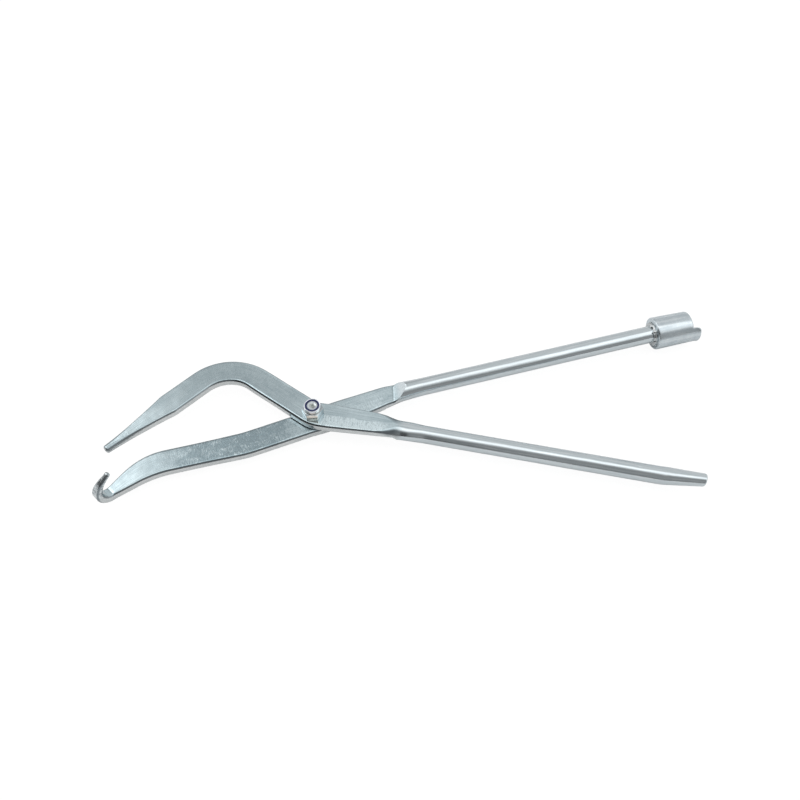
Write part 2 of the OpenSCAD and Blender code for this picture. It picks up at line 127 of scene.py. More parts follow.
# Removal socket
SOCKET_R = 9.13
RIM_R = 8.73
SOCKET_TILT = 1.5
SOCKET_LEN = 21.4
SOCKET_BORE_R = 6.5
SOCKET_BACK = 5
SOCKET_EDGE_R = 1.0
SOCKET_BEVEL = 0.3
TONGUE_LEN = 4.2
TONGUE_ARC = 86
TONGUE_FLARE = 0.31
TONGUE_CORNER_R = 2.0
TONGUE_FILLET_R = 0.9
TONGUE_EDGE_R = 0.75
WELD = 1.9
WELD_LUMPS = 11

# Steps of the lever skins: along the flats, the ramps, the round bar and the bent ends
FLAT_STEP = 0.9
RAMP_STEP = 0.25
ROD_STEP = 1.5
END_STEP = 0.4
# Points of half a section: across a face, in the lower corner, up the wall and in the upper edge
ACROSS_N = 7
CORNER_N = 8
WALL_N = 9
TOP_N = 6
# Points of a turned piece, and the angle in degrees above which an edge stays sharp
ROUND_N = 96
SHARP = 32


def mix(a, b, t):
    return a + (b - a) * t


def clamp(t):
    return min(1.0, max(0.0, t))


def smooth(t):
    c = clamp(t)
    return c * c * (3 - 2 * c)


def heading(h):
    return np.array([math.cos(math.radians(h)), math.sin(math.radians(h))])


def left_of(h):
    return np.array([-math.sin(math.radians(h)), math.cos(math.radians(h))])


def pose(runs, s, p, h):
    """Place and heading at distance s along a bent bar of runs (straight length, turn, bend radius)."""
    p = np.array(p, float)
    for straight, turn, radius in runs:
        if s <= straight:
            break
        p = p + straight * heading(h)
        s -= straight
        bend = math.radians(abs(turn)) * radius
        side = math.copysign(radius, turn)
        centre = p + side * left_of(h)
        share = min(s / bend, 1.0)
        h = h + turn * share
        p = centre - side * left_of(h)
        s -= bend * share
        if share < 1:
            return p, h
    return p + s * heading(h), h


def runs_len(runs):
    return sum(straight + math.radians(abs(turn)) * radius for straight, turn, radius in runs)


def steps(start, end, step):
    return list(np.linspace(start, end, max(2, int(abs(end - start) / step) + 1)))


def within(s, start, end, fade):
    """1 between two distances from the pivot, fading to 0 towards both of them."""
    return smooth((s - start) / fade) * smooth((end - s) / fade)


# Sections of the levers

def bluntness(r):
    """1 for a round edge, more for a small edge, which is blunted by wear."""
    return mix(BLUNT_POWER, 1.0, smooth((r - BLUNT_R) / BLUNT_RANGE))


def half_section(a, depth, low_r, top, high_r, core):
    """Right half of a section from the middle of its lower face to the middle of its upper face. It is 2a
    wide, goes down by depth and up to top, and has edges of low_r and high_r. Above 0 its walls turn in like
    those of a round bar of radius core."""
    r = min(low_r, a - SLIVER)
    high = top - high_r
    over = r - depth - high + SLIVER
    last = -math.asin(min(over / r, 1)) if over > 0 else 0.0
    low_p = bluntness(r)
    low = -depth + r - r * (-math.sin(last)) ** low_p
    v_high = high if high <= 0 else core * math.asin(min(1, high / core))
    a_low = a - r + r * math.cos(last) ** low_p
    points = [(x, -depth) for x in np.linspace(0, a - r, ACROSS_N + 1)[:-1]]
    for k in range(CORNER_N + 1):
        t = mix(-math.pi / 2, last, k / CORNER_N)
        points.append((a - r + r * math.cos(t) ** low_p, -depth + r - r * (-math.sin(t)) ** low_p))
    for k in range(1, WALL_N + 1):
        v = mix(low, v_high, k / WALL_N)
        x = a if v <= 0 else core * math.cos(v / core) + (a - core) * (1 - math.sin(v / core))
        y = v if v <= 0 else core * math.sin(v / core)
        points.append((x - (a - a_low) * (1 - k / WALL_N), y))
    edge_x, edge_y = points[-1]
    edge_w = max(0.0, min(high_r, edge_x - SLIVER))
    high_p = bluntness(high_r)
    for k in range(1, TOP_N + 1):
        t = math.pi / 2 * k / TOP_N
        x = edge_x - edge_w * (1 - max(0.0, math.cos(t)) ** high_p)
        points.append((x, edge_y + high_r * math.sin(t) ** high_p))
    x_end, y_end = points[-1]
    points += [(x, y_end) for x in np.linspace(x_end, 0, ACROSS_N + 1)[1:]]
    return points


def section(a, depth, low_r, top, high_r, shift=0.0, core=ROD_R):
    """Whole section, moved sideways by shift."""
    half = half_section(a, depth, low_r, top, high_r, core)
    right = [(x + shift, y) for x, y in half]
    left = [(shift - x, y) for x, y in half[-2:0:-1]]
    return np.array(right + left)


def edge_weights():
    """How far each point of a section lies on one of its rounded edges, from 0 to 1."""
    half = [0.0] * ACROSS_N
    half += [math.sin(math.pi * k / CORNER_N) for k in range(CORNER_N + 1)]
    half += [0.0] * WALL_N
    half += [math.sin(math.pi * k / TOP_N) for k in range(1, TOP_N + 1)]
    half += [0.0] * ACROSS_N
    return half + half[-2:0:-1]


EDGE_WEIGHTS = edge_weights()


def drawn_in(sec, t):
    """Draws a section in together, for a rounded end that lies a share t of its radius before the end."""
    least = 0.12
    low, high = sec.min(0), sec.max(0)
    mid = (low + high) / 2
    return mid + max(least, math.sqrt(max(0.0, 1 - t * t))) * (sec - mid)


def with_small_end(sec, to_end):
    return drawn_in(sec, 1 - to_end / SMALL_END_R) if to_end < SMALL_END_R else sec


def small_end(length, count):
    """Distances of the rings of a bar's small rounded end from the start of the bar, outermost first."""
    return [length - SMALL_END_R * (1 - math.cos(math.radians(10 * k))) for k in range(count)]


def ring(sec, p, z, h, pitch, flip):
    """Sets a section at point p. Its side axis is left of heading h, and pitch tips it up."""
    side, out = left_of(h), heading(h)
    up = sec[:, 1] * flip
    lean = math.radians(pitch)
    x = p[0] + sec[:, 0] * side[0] - up * math.sin(lean) * out[0]
    y = p[1] + sec[:, 0] * side[1] - up * math.sin(lean) * out[1]
    return np.stack([x, y, z + up * math.cos(lean)], 1)


class Skin:
    """Rings of a lever from its jaw's end to its handle's end, with each point's place on the bar: its
    distance from the pivot, negative to the jaw, and its place across and up."""

    def __init__(self, z, flip):
        self.z = z
        self.flip = flip
        self.rings = []
        self.flow = []
        self.edges = []

    def add(self, sec, s, p, h, pitch=0.0, z=None, skew=0.0):
        points = ring(sec, p, self.z if z is None else z, h, pitch, self.flip)
        points[:, :2] += skew * sec[:, :1] * heading(h)
        self.rings.append(points)
        self.flow.append(np.stack([s - skew * sec[:, 0], sec[:, 0], sec[:, 1] * self.flip], 1))
        self.edges.append(EDGE_WEIGHTS)


def boss_width(width, s):
    """Takes a flat from its jaw's width to the boss's across the pivot. Distance s is negative to the jaw."""
    return mix(width, BOSS_W, smooth((s + BOSS_HALF) / (2 * BOSS_HALF)))


# Handles

def ramp_height(along):
    """Share of the rod's height that the ramp has reached. Its end is eased into the rod."""
    raw = max(0.0, along / RAMP_LEN) ** RAMP_POWER
    if raw < EASE_FROM:
        return raw
    if raw < EASE_TO:
        return raw - (raw - EASE_FROM) ** 2 / (2 * (EASE_TO - EASE_FROM))
    return 1.0


def ramp_skew(s, flat_len):
    """The ramp's fold runs askew: its near side starts closer to the pivot."""
    return RAMP_SKEW * within(s, flat_len - SKEW_REACH, flat_len + RAMP_LEN + SKEW_REACH, SKEW_FADE)


def handle_section(s, flat_len, neck_start, round_start=ROUNDING_LEN, swell=0.0):
    """Section of a handle. Its flat narrows from neck_start on, its lower edges turn round from round_start
    before the ramp, and swell makes them rounder still beside it."""
    narrow = clamp((s - neck_start) / (flat_len + RAMP_LEN + SPREAD_LEN - neck_start)) ** NARROWING_POWER
    rounding = smooth((s - flat_len + round_start) / (RAMP_LEN + ROUNDING_LEN))
    lift = clamp((s - flat_len) / RAMP_LEN)
    swelling = within(s, flat_len - SWELL_BEFORE, flat_len + SWELL_AFTER, SWELL_FADE)
    return section(
        mix(boss_width(JAW_W, s) / 2, ROD_R, narrow),
        FLAT_T,
        mix(EDGE_R, ROD_R, rounding) + swell * swelling,
        ROD_R * ramp_height(s - flat_len),
        mix(EDGE_R, RAMP_EDGE_R, smooth(2 * lift)) * (1 - lift ** 6),
    )


def handle_steps(flat_len, end):
    """Distances of a handle's rings from the pivot, close together on the ramp."""
    rod_start = flat_len + RAMP_LEN
    along = steps(0.5, flat_len, FLAT_STEP)
    along += steps(flat_len + RAMP_STEP, rod_start + EASE_LEN, RAMP_STEP)
    return along + steps(rod_start + EASE_LEN + 1, end, ROD_STEP)


# Hook lever

HOOK_ANGLE = 22
HOOK_BASE = -1.5 * left_of(HOOK_ANGLE)
HOOK_STRAIGHT = 34.5
HOOK_JAW = [(HOOK_STRAIGHT, -7.4, 60), (36.5, 29.4, 38)]
HOOK_JAW_LEN = runs_len(HOOK_JAW) + 12.2
HOOK_JAW_W = 13.3
HOOK_JAW_TAPER = 29
HOOK_RISE = [(0, 101, 4), (0, 43, 10.7)]
HOOK_RISE_LEN = runs_len(HOOK_RISE) + 4.72
HOOK_HANDLE = [(8.4, 1.4, 60), (29, -7.7, 30)]
HOOK_FLAT_LEN = 45
HOOK_NECK_START = 10
HOOK_END = HOOK_FLAT_LEN + 151.5
HOOK_ROOT_W = 6.2
FINGER_W = 3
FINGER_T = 2.5
FINGER_EDGE_R = 0.42 * FINGER_T
ROD_END, ROD_END_H = pose(HOOK_HANDLE, HOOK_END, HOOK_BASE, HOOK_ANGLE)


def hook_jaw_section(s):
    full_w = boss_width(mix(JAW_W, HOOK_JAW_W, smooth((s - HOOK_STRAIGHT) / 30)), -s)
    from_hook = clamp((HOOK_JAW_LEN - s) / HOOK_JAW_TAPER)
    width = mix(HOOK_ROOT_W, full_w, math.sin(math.pi / 2 * from_hook))
    return section(width / 2, FLAT_T, EDGE_R, 0, EDGE_R)


def finger_section(s):
    """Section of the hook's finger, which gets narrow, thin and round on its way up."""
    t = s / HOOK_RISE_LEN
    w = mix(HOOK_ROOT_W, FINGER_W, smooth((t - 0.18) / 0.75))
    thick = mix(FLAT_T, FINGER_T, clamp(t / 0.85))
    r = mix(EDGE_R, FINGER_EDGE_R, clamp(t / 0.6))
    plain = section(w / 2, FLAT_T, r, thick - FLAT_T, r, (HOOK_ROOT_W - w) / 2)
    return with_small_end(plain, HOOK_RISE_LEN - s)


def hook_skin():
    skin = Skin(LAP_Z, 1)
    root, root_h = pose(HOOK_JAW, HOOK_JAW_LEN, HOOK_BASE, 180 + HOOK_ANGLE)
    for s in small_end(HOOK_RISE_LEN, 9) + steps(HOOK_RISE_LEN - SMALL_END_R - 0.3, END_STEP, END_STEP):
        rise, lean = pose(HOOK_RISE, s, (0, 0), 0)
        place = root + rise[0] * heading(root_h)
        skin.add(finger_section(s), -HOOK_JAW_LEN - s, place, root_h, lean, LAP_Z + rise[1])
    for s in steps(HOOK_JAW_LEN, 0.5, FLAT_STEP):
        p, h = pose(HOOK_JAW, s, HOOK_BASE, 180 + HOOK_ANGLE)
        skin.add(hook_jaw_section(s), -s, p, h)
    for s in handle_steps(HOOK_FLAT_LEN, HOOK_END + 0.85 * SOCKET_BACK):
        p, h = pose(HOOK_HANDLE, s, HOOK_BASE, HOOK_ANGLE)
        sec = handle_section(s, HOOK_FLAT_LEN, HOOK_NECK_START)
        skin.add(sec, s, p, h + 180, skew=ramp_skew(s, HOOK_FLAT_LEN))
    return skin


# Pin lever

PIN_ANGLE = 22.9
PIN_BASE = 0.3 * left_of(-PIN_ANGLE)
PIN_STRAIGHT = 35.7
PIN_JAW = [(0, -13.2, 15), (PIN_STRAIGHT, 80.1, 23.4)]
PIN_JAW_LEN = runs_len(PIN_JAW) + 61.7
PIN_JAW_W = 13.4
PIN_JAW_TAPER = 40
PIN_TIP_D = 4.5
PIN_TIP_EDGE_R = 0.49 * PIN_TIP_D
PIN_FLAT_LEN = 43
PIN_NECK_START = 8
PIN_ROUND_START = 10
PIN_SWELL = 0.9
PIN_HANDLE = [(0, 13.2, 15), (PIN_FLAT_LEN, -1.9, 30)]
PIN_END = PIN_FLAT_LEN + 161

# Installing tip of its handle
TIP_TAPER = 20
TIP_STRAIGHT = 2
TIP_LEN = TIP_STRAIGHT + TIP_TAPER
TIP_BEND = 7
TIP_BEND_HALF = 5
TIP_R = 3.45
TIP_FLAT_LEN = 8
TIP_FLAT = 0.45


def pin_jaw_section(s):
    from_tip = PIN_JAW_LEN - s
    taper = clamp(from_tip / PIN_JAW_TAPER)
    full_w = boss_width(mix(JAW_W, PIN_JAW_W, smooth((s - PIN_STRAIGHT) / 18 + 0.2)), -s)
    edge_r = mix(PIN_TIP_EDGE_R, EDGE_R, smooth(1.6 * taper))
    width = mix(PIN_TIP_D, full_w, taper ** 1.7)
    top = mix(PIN_TIP_D - FLAT_T, 0, smooth(3 * taper))
    return with_small_end(section(width / 2, FLAT_T, edge_r, top, edge_r), from_tip)


def add_installing_tip(skin):
    """End of the pin lever's handle: bent up, tapered, rounded at its end and flattened there on top."""
    s = PIN_END - TIP_LEN - TIP_BEND_HALF
    z = PIN_Z
    along = list(np.arange(-TIP_BEND_HALF + END_STEP, TIP_LEN - SMALL_END_R, END_STEP))
    along += [TIP_LEN - SMALL_END_R * (1 - math.sin(math.radians(10 * k))) for k in range(9)]
    last = -TIP_BEND_HALF
    for a in along:
        bend = TIP_BEND * smooth((a + TIP_BEND_HALF) / (2 * TIP_BEND_HALF))
        s += (a - last) * math.cos(math.radians(bend))
        z += (a - last) * math.sin(math.radians(bend))
        last = a
        r = mix(ROD_R, TIP_R, clamp((a - TIP_STRAIGHT) / (TIP_TAPER - SMALL_END_R)))
        to_end = TIP_LEN - a
        if to_end < SMALL_END_R:
            r -= SMALL_END_R * (1 - math.sqrt(1 - (1 - to_end / SMALL_END_R) ** 2))
        p, h = pose(PIN_HANDLE, s, PIN_BASE, -PIN_ANGLE)
        sec = section(r, r, r, r, 0, 0, r)
        top = 1 - TIP_FLAT * smooth((a - TIP_LEN + TIP_FLAT_LEN) / TIP_FLAT_LEN)
        sec[:, 1] = np.minimum(sec[:, 1], top * r)
        skin.add(sec, s, p, h + 180, bend, z)


def pin_skin():
    skin = Skin(PIN_Z, -1)
    for s in small_end(PIN_JAW_LEN, 10) + steps(PIN_JAW_LEN - SMALL_END_R - 0.5, 0.5, FLAT_STEP):
        p, h = pose(PIN_JAW, s, PIN_BASE, 180 - PIN_ANGLE)
        skin.add(pin_jaw_section(s), -s, p, h)
    for s in handle_steps(PIN_FLAT_LEN, PIN_END - TIP_LEN - TIP_BEND_HALF):
        p, h = pose(PIN_HANDLE, s, PIN_BASE, -PIN_ANGLE)
        sec = handle_section(s, PIN_FLAT_LEN, PIN_NECK_START, PIN_ROUND_START, PIN_SWELL)
        skin.add(sec, s, p, h + 180)
    add_installing_tip(skin)
    return skin


# Meshes

def keep_sharp(bm, sharp):
    """Smooths a bmesh's edges except those that turn by more than sharp degrees."""
    for edge in bm.edges:
        edge.smooth = len(edge.link_faces) == 2 and edge.calc_face_angle(0) < math.radians(sharp)


def new_object(name, bm, sharp=SHARP):
    """Makes an object of a bmesh in millimetres, smooth except along its sharp edges."""
    bmesh.ops.recalc_face_normals(bm, faces=bm.faces)
    for face in bm.faces:
        face.smooth = True
    keep_sharp(bm, sharp)
    bmesh.ops.scale(bm, vec=Vector((MM, MM, MM)), verts=bm.verts)
    mesh = bpy.data.meshes.new(name)
    bm.to_mesh(mesh)
    bm.free()
    obj = bpy.data.objects.new(name, mesh)
    bpy.context.scene.collection.objects.link(obj)
    return obj


def loft(bm, rings, closed=False, flow=None, edges=None):
    """Joins rings of equal point counts with faces. A closed loft comes back to its first ring, an open one
    is capped at both ends. Flow and edges give each point of a lever its place and its edge weight."""
    flow_layer = bm.verts.layers.float_vector.new("flow") if flow is not None else None
    edge_layer = bm.verts.layers.float.new("edge") if edges is not None else None
    rows = []
    for i, points in enumerate(rings):
        row = []
        for j, q in enumerate(points):
            v = bm.verts.new(q)
            if flow_layer is not None:
                v[flow_layer] = flow[i][j]
                v[edge_layer] = edges[i][j]
            row.append(v)
        rows.append(row)
    count = len(rows[0])
    pairs = list(zip(rows, rows[1:]))
    if closed:
        pairs.append((rows[-1], rows[0]))
    for low, high in pairs:
        for j in range(count):
            k = (j + 1) % count
            bm.faces.new((low[j], low[k], high[k], high[j]))
    if not closed:
        bm.faces.new(rows[0][::-1])
        bm.faces.new(rows[-1])
    bmesh.ops.remove_doubles(bm, verts=bm.verts, dist=0.002)
    bmesh.ops.dissolve_degenerate(bm, edges=bm.edges, dist=0.001)


def forge(bm):
    """Presses shallow hollows into a forged surface, inward only, and not near the pivot."""
    bm.normal_update()
    moves = []
    for v in bm.verts:
        far = smooth((math.hypot(v.co.x, v.co.y) - FORGE_KEEP_OUT) / FORGE_FADE)
        coarse = noise.noise(v.co / FORGE_WAVE)
        fine = noise.noise(v.co / FORGE_WAVE * 2.7)
        amount = 0.9 + 0.6 * coarse + 0.35 * fine
        moves.append(v.normal * (-FORGE_DEPTH * far * max(0.0, amount)))
    for v, move in zip(bm.verts, moves):
        v.co += move


def spokes():
    return [heading(360 * k / ROUND_N) for k in range(ROUND_N)]


def bored(obj, z_low, z_high):
    """Cuts the pivot hole through a lever."""
    bm = bmesh.new()
    circle = [BORE_R * q for q in spokes()]
    loft(bm, [[(*q, z) for q in circle] for z in (z_low, z_high)])
    cutter = new_object("cutter", bm)
    cut = obj.modifiers.new("hole", "BOOLEAN")
    cut.operation = "DIFFERENCE"
    cut.solver = "EXACT"
    cut.object = cutter
    graph = bpy.context.evaluated_depsgraph_get()
    cut_mesh = bpy.data.meshes.new_from_object(obj.evaluated_get(graph))
    obj.modifiers.clear()
    bpy.data.objects.remove(cutter)
    bm = bmesh.new()
    bm.from_mesh(cut_mesh)
    keep_sharp(bm, SHARP)
    bm.to_mesh(obj.data)
    bm.free()
    return obj


def lever(name, skin, z_low, z_high):
    bm = bmesh.new()
    loft(bm, skin.rings, flow=skin.flow, edges=skin.edges)
    forge(bm)
    return bored(new_object(name, bm), z_low, z_high)


def hex_outline():
    """Hexagon with rounded corners as points, one flat facing -Y, with points along its flats."""
    corner_r = 0.25
    centre_r = (HEX_AF / 2 - corner_r) / math.cos(math.radians(30))
    points = []
    for side in range(6):
        turn = 60 * side
        centre = centre_r * heading(turn)
        for k in range(5):
            points.append(centre + corner_r * heading(turn - 30 + 15 * k))
        start = points[-1]
        following = centre_r * heading(turn + 60) + corner_r * heading(turn + 30)
        points += [mix(start, following, k / 10) for k in range(1, 10)]
    return points


def at_z(outline, z):
    return [(q[0], q[1], z) for q in outline]


def round_rings(outline, pairs):
    """Circles at radius and height pairs, with their points in the directions of an outline's points."""
    return [at_z([r * q / np.linalg.norm(q) for q in outline], z) for r, z in pairs]


def chamfered(outline, z, up):
    """The rim of a hexagon that is cut off by a cone: its corners drop below z, or rise above it."""
    fall = math.tan(math.radians(30))
    sign = -1 if up else 1
    return [(q[0], q[1], z + sign * max(0.0, (np.linalg.norm(q) - HEX_AF / 2) * fall)) for q in outline]


def inset(outline, amount):
    return [q * (1 - amount / np.linalg.norm(q)) for q in outline]


def arc(r0, z0, r1, z1, n, hollow=False):
    """Quarter ellipse from (r0, z0) to (r1, z1) as radius and height pairs. It leaves upright, or lying if
    hollow."""
    pairs = []
    for k in range(n + 1):
        t = math.pi / 2 * k / n
        if hollow:
            pairs.append((mix(r0, r1, math.sin(t)), mix(z0, z1, 1 - math.cos(t))))
        else:
            pairs.append((mix(r0, r1, 1 - math.cos(t)), mix(z0, z1, math.sin(t))))
    return pairs


def lock_nut():
    """Hexagon with chamfered rims and a collar, whose edge is rolled in over the insert."""
    outline = hex_outline()
    bore_r = BOLT_R + BORE_PLAY
    hex_h = NUT_H - COLLAR_H
    seat = NUT_H - INSERT_H - INSERT_DROP
    rings = round_rings(outline, [(bore_r, 0), (4.2, 0), (HEX_AF / 2 - 0.08, 0)])
    rings.append(chamfered(inset(outline, HEX_BEVEL), 0.02, up=False))
    rings.append(chamfered(outline, 0.09, up=False))
    rings.append(chamfered(outline, hex_h - 0.12, up=True))
    rings.append(chamfered(inset(outline, HEX_BEVEL), hex_h - 0.04, up=True))
    rings += round_rings(outline, [(HEX_AF / 2 - 0.1, hex_h), (COLLAR_R + 0.18, hex_h)])
    inside = COLLAR_R - COLLAR_WALL
    lip = inside - LIP_W
    crest = (COLLAR_R + lip) / 2
    collar = arc(COLLAR_R + 0.15, hex_h, COLLAR_R, hex_h + 0.25, 4, hollow=True)
    collar += arc(COLLAR_R, NUT_H - 0.7, crest, NUT_H, 8)
    for k in range(1, 7):
        t = math.pi / 12 * k
        collar.append((crest - (crest - lip) * math.sin(t), NUT_H - 0.22 * (1 - math.cos(t))))
    collar += [(inside, seat + INSERT_H), (inside, seat), (bore_r, seat)]
    rings += round_rings(outline, collar)
    bm = bmesh.new()
    loft(bm, [[(x, y, z + NUT_Z) for x, y, z in points] for points in rings], closed=True)
    return new_object("dressed_nut", bm, sharp=26)


def nylon_insert():
    seat = NUT_Z + NUT_H - INSERT_H - INSERT_DROP
    top = seat + INSERT_H
    rise = 0.12
    outer = COLLAR_R - COLLAR_WALL - PLAY
    crown = outer - LIP_W - PLAY
    inner = BOLT_R + PLAY
    pairs = [(inner, seat + PLAY), (outer, seat + PLAY), (outer, top - PLAY), (crown, top - PLAY)]
    pairs += arc(crown, top, crown - rise, top + rise, 4)
    pairs.append((inner + 0.15, top + rise))
    pairs += arc(inner + 0.15, top + rise, inner, top - 0.1, 5, hollow=True)
    bm = bmesh.new()
    loft(bm, [at_z([r * q for q in spokes()], z) for r, z in pairs], closed=True)
    return new_object("dressed_insert", bm, sharp=30)


def pivot_bolt():
    outline = hex_outline()
    face = [(0.3, 0.22)] + arc(3.7, 0.22, 4.0, 0.0, 4, hollow=True) + [(HEX_AF / 2 - 0.1, 0.0)]
    rings = round_rings(outline, face)
    rings.append(chamfered(inset(outline, HEX_BEVEL), 0.03, up=False))
    rings.append(chamfered(outline, 0.12, up=False))
    rings.append(at_z(outline, HEAD_H - 0.12))
    rings.append(at_z(inset(outline, 0.1), HEAD_H))
    shank = [(BOLT_R - 0.01, HEAD_H), (BOLT_R - 0.01, NUT_Z + 1)]
    # The thread's last turns show as ridges in the nut's mouth
    z = NUT_Z + 1.1
    root_r = BOLT_R - THREAD_DEPTH
    while z < BOLT_TOP - 1.1:
        shank += [(BOLT_R - 0.02, z), (root_r, z + 0.45), (root_r, z + 0.5)]
        z += 1.0
    # Its end is bevelled and has a shallow centre mark
    end_r = BOLT_R - 0.12
    shank += [(BOLT_R - 0.05, BOLT_TOP - 0.55), (end_r, BOLT_TOP - 0.5)]
    shank += arc(end_r, BOLT_TOP - 0.12, BOLT_R - 0.24, BOLT_TOP, 4)
    for r, drop in [(1.8, 0), (1.5, 0.1), (0.9, 0.14), (0.5, 0.17), (0.4, 0.3), (0.3, 0.7), (0.1, 0.8)]:
        shank.append((r, BOLT_TOP - drop))
    rings += round_rings(outline, shank)
    bm = bmesh.new()
    loft(bm, rings)
    return new_object("dressed_bolt", bm, sharp=26)


def at_rod_end(points, tilt):
    """Takes points with +Z along the handle rod and +X to the tongue to the back of the socket."""
    out, side = heading(ROD_END_H - tilt), left_of(ROD_END_H - tilt)
    placed = []
    for x, y, z in points:
        x_placed = ROD_END[0] + z * out[0] - x * side[0]
        y_placed = ROD_END[1] + z * out[1] - x * side[1]
        placed.append((x_placed, y_placed, LAP_Z - y))
    return placed


def tongue_height(turn):
    """Height of the socket's end at an angle from the middle of its tongue, in degrees."""
    corner_r = TONGUE_CORNER_R
    fillet = TONGUE_FILLET_R
    d = math.radians(TONGUE_ARC / 2 - abs(turn)) * (RIM_R + 0.3)
    if d >= corner_r:
        return SOCKET_LEN + TONGUE_LEN
    if d >= 0:
        return SOCKET_LEN + TONGUE_LEN - corner_r + math.sqrt(corner_r ** 2 - (corner_r - d) ** 2)
    if d > -fillet:
        return SOCKET_LEN + fillet - math.sqrt(fillet ** 2 - (fillet + d) ** 2)
    return SOCKET_LEN


def socket_turns():
    """Angles of the socket's columns from the middle of its tongue, crowded at the tongue's two sides."""
    edge = TONGUE_ARC / 2
    corner = 14
    crowding = 1.6
    middle = list(np.linspace(-edge + corner, edge - corner, 22))
    side = [edge - corner * (1 - (k / 10) ** crowding) for k in range(1, 11)]
    side += [edge + 0.25 + 6.3 * (k / 6) ** crowding for k in range(7)]
    rest = list(np.linspace(edge + 9, 180, 44))
    return [-t for t in rest[:-1][::-1]] + [-t for t in side[::-1]] + middle + side + rest


def socket_column(top):
    """Radii and heights of the socket's wall, from its back to its rim at height top and down inside."""
    low = SOCKET_LEN - SOCKET_EDGE_R
    pairs = [(ROD_R + PLAY, 0.02), (ROD_R + 0.5, 0)]
    pairs += arc(SOCKET_R - SOCKET_EDGE_R, 0, SOCKET_R, SOCKET_EDGE_R, 8, hollow=True)
    for k in range(1, 9):
        pairs.append((mix(SOCKET_R, RIM_R, k / 9), mix(SOCKET_EDGE_R, low, k / 9)))
    lip = mix(SOCKET_EDGE_R, TONGUE_EDGE_R, smooth((top - SOCKET_LEN) / 2))
    for k in range(1, 9):
        z = mix(low, top - lip, k / 8)
        share = clamp((z - SOCKET_LEN - 0.35 * TONGUE_LEN) / (0.47 * TONGUE_LEN))
        pairs.append((RIM_R + TONGUE_FLARE * (1 - math.cos(math.pi / 2 * share)), z))
    r_out = pairs[-1][0]
    mouth = top - SOCKET_BEVEL
    pairs += arc(r_out, top - lip, r_out - lip, top, 7)[1:]
    pairs += arc(SOCKET_BORE_R + SOCKET_BEVEL, top, SOCKET_BORE_R, mouth, 3, hollow=True)
    for k in range(1, 8):
        pairs.append((SOCKET_BORE_R, mix(mouth, SOCKET_BACK + SOCKET_BEVEL, k / 7)))
    return pairs + [(SOCKET_BORE_R - SOCKET_BEVEL, SOCKET_BACK), (ROD_R + PLAY, SOCKET_BACK)]


def removal_socket():
    columns = []
    for turn in socket_turns():
        spoke = heading(turn)
        columns.append([(r * spoke[0], r * spoke[1], z) for r, z in socket_column(tongue_height(turn))])
    rings = [[column[i] for column in columns] for i in range(len(columns[0]))]
    bm = bmesh.new()
    loft(bm, [at_rod_end(points, SOCKET_TILT) for points in rings], closed=True)
    return new_object("dressed_socket", bm, sharp=34)


def socket_weld():
    """Lumpy quarter bead: flat against the rod and the socket, round to the outside."""
    around = 120
    laps = 20
    base_r = ROD_R + BORE_PLAY
    rings = []
    for i in range(laps):
        lap = 2 * math.pi * i / laps
        points = []
        for k in range(around):
            turn = 2 * math.pi * k / around
            lump = 0.5 + 0.5 * math.cos(WELD_LUMPS * turn + 0.6 * math.sin(2 * turn))
            wobble = noise.noise(Vector((2.2 * math.cos(turn), 2.2 * math.sin(turn), 0.7 * math.cos(lap))))
            size = WELD * (0.80 + 0.22 * lump + 0.16 * wobble)
            out = base_r + size * max(0.0, math.cos(lap)) ** 0.8
            back = size * max(0.0, math.sin(lap)) ** 0.8
            front = 0.05 * max(0.0, -math.sin(lap))
            points.append((out * math.cos(turn), out * math.sin(turn), -0.06 - back + front))
        rings.append(points)
    bm = bmesh.new()
    loft(bm, [at_rod_end(points, 0) for points in rings], closed=True)
    return new_object("dressed_weld", bm, sharp=50)


# Materials: each pair of colours is the darkest and the lightest one of a noise

FACE_COLOURS = ((0.37, 0.47, 0.51), (0.83, 0.96, 1.0))
# Painted reflection: the lever walls get a paler, less blue copy of the zinc, for the pale floor they face
WALL_REFLECTION_COLOURS = ((0.60, 0.64, 0.65), (0.82, 0.84, 0.84))
FINGER_COLOURS = ((0.25, 0.28, 0.30), (0.72, 0.78, 0.80))
ROD_COLOURS = ((0.58, 0.64, 0.67), (0.66, 0.715, 0.74))
# Painted shade along the rounded edges of the lever flats
EDGE_SHADE_COLOUR = (0.16, 0.19, 0.21)
SOCKET_COLOURS = ((0.53, 0.60, 0.64), (0.70, 0.76, 0.79))
NYLON_COLOURS = ((0.014, 0.020, 0.085), (0.030, 0.045, 0.17))
BOLT_COLOURS = ((0.44, 0.48, 0.46), (0.60, 0.64, 0.61))
BOLT_END_COLOUR = (0.76, 0.82, 0.85)
# Painted shade round the bolt's end, in its gap to the nylon insert
BOLT_RIM_SHADE_COLOUR = (0.12, 0.14, 0.28)
NUT_COLOURS = ((0.36, 0.40, 0.42), (0.48, 0.53, 0.55))
# Lit copies of the nut's zinc: painted reflection on its front flat, painted light on its collar, a painted
# highlight on its lip
NUT_FRONT_REFLECTION_COLOUR = (0.78, 0.74, 0.68)
NUT_COLLAR_LIGHT_COLOUR = (0.66, 0.64, 0.62)
NUT_LIP_HIGHLIGHT_COLOUR = (0.90, 0.94, 0.99)
WELD_COLOURS = ((0.46, 0.49, 0.50), (0.74, 0.77, 0.78))

# Distances from the pivot between which a lever's marks come in and then go again. The finger's only go.
JAW_MARKS = (-92, -50, -26, -8)
# On the handles this range also bounds a patch of painted light beside the pivot
HANDLE_MARKS_AND_LIGHT = (2, 5, 34, 42)
FINGER_MARKS = (-119, -115)


def rgb(r, g, b):
    return (r, g, b, 1.0)


